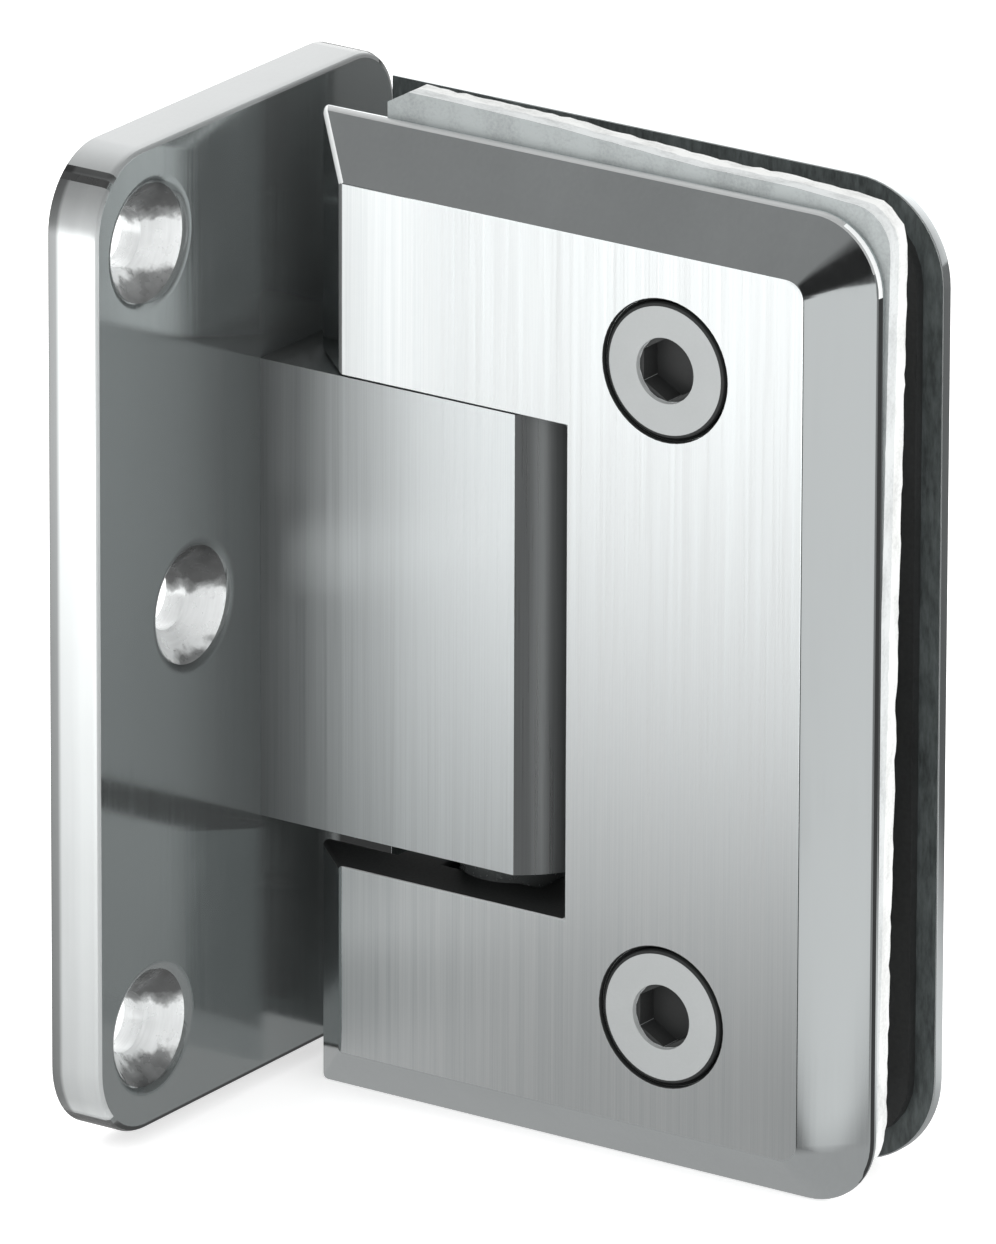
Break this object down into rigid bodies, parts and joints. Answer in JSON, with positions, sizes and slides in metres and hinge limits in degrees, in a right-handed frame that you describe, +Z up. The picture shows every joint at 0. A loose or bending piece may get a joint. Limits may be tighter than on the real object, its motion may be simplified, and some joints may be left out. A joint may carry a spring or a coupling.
{
  "type": "glass door hinge",
  "caption": "Wall to glass hinge for a frameless shower door: offset wall plate, pivot block and a bevelled clamp that turns about a vertical pin.",
  "frame": {"origin": "on the wall, at the height of the middle of the wall plate and in the plane of the pin axis", "axes": "+X out from the wall along the closed door, -Y to the front face with the clamp screws, +Z up along the pin"},
  "size_m": [0.0667, 0.0452, 0.0925],
  "materials": {
    "polished_steel": "mirror polished",
    "brushed_steel": "vertical brush marks",
    "screw_steel": "turned",
    "pin_steel": "ground",
    "bush_brass": "turned",
    "spring_steel": "drawn wire",
    "white_gasket": "soft sheet, cut by hand",
    "black_gasket": "matte sheet",
    "sleeve_nylon": "moulded"
  },
  "bodies": {
    "wall_side": {"wall_plate": "polished_steel", "pivot_block": "brushed_steel", "upper_block_screw": "screw_steel", "lower_block_screw": "screw_steel", "upper_bush": "bush_brass", "lower_bush": "bush_brass", "upper_spring": "spring_steel", "lower_spring": "spring_steel", "upper_spring_plug": "screw_steel", "lower_spring_plug": "screw_steel"},
    "door_side": {"front_clamp_plate": "brushed_steel", "pivot_pin": "pin_steel", "front_gasket": "white_gasket", "upper_clamp_screw": "screw_steel", "lower_clamp_screw": "screw_steel", "upper_pin_cap": "screw_steel", "lower_pin_cap": "screw_steel", "upper_cap_screws": "screw_steel", "lower_cap_screws": "screw_steel"},
    "back_side": {"back_clamp_plate": "polished_steel", "back_gasket": "black_gasket", "upper_sleeve": "sleeve_nylon", "lower_sleeve": "sleeve_nylon"},
    "upper_follower": {"upper_plunger": "pin_steel"},
    "lower_follower": {"lower_plunger": "pin_steel"}
  },
  "joints": [
    {"name": "door_swing", "type": "hinge", "parent": "wall_side", "child": "door_side", "pos_m": [0.0258, 0, 0], "axis": [0, 0, 1], "range_deg": [-90, 90]},
    {"name": "glass_clamp", "type": "slide", "parent": "door_side", "child": "back_side", "axis": [0, 1, 0], "range_m": [0, 0.0043]},
    {"name": "upper_plunger_travel", "type": "slide", "parent": "wall_side", "child": "upper_follower", "axis": [1, 0, 0], "range_m": [0, 0.00075]},
    {"name": "lower_plunger_travel", "type": "slide", "parent": "wall_side", "child": "lower_follower", "axis": [1, 0, 0], "range_m": [0, 0.00075]}
  ],
  "couplings": [
    {"joint": "lower_plunger_travel", "follows": "upper_plunger_travel", "ratio": 1}
  ]
}
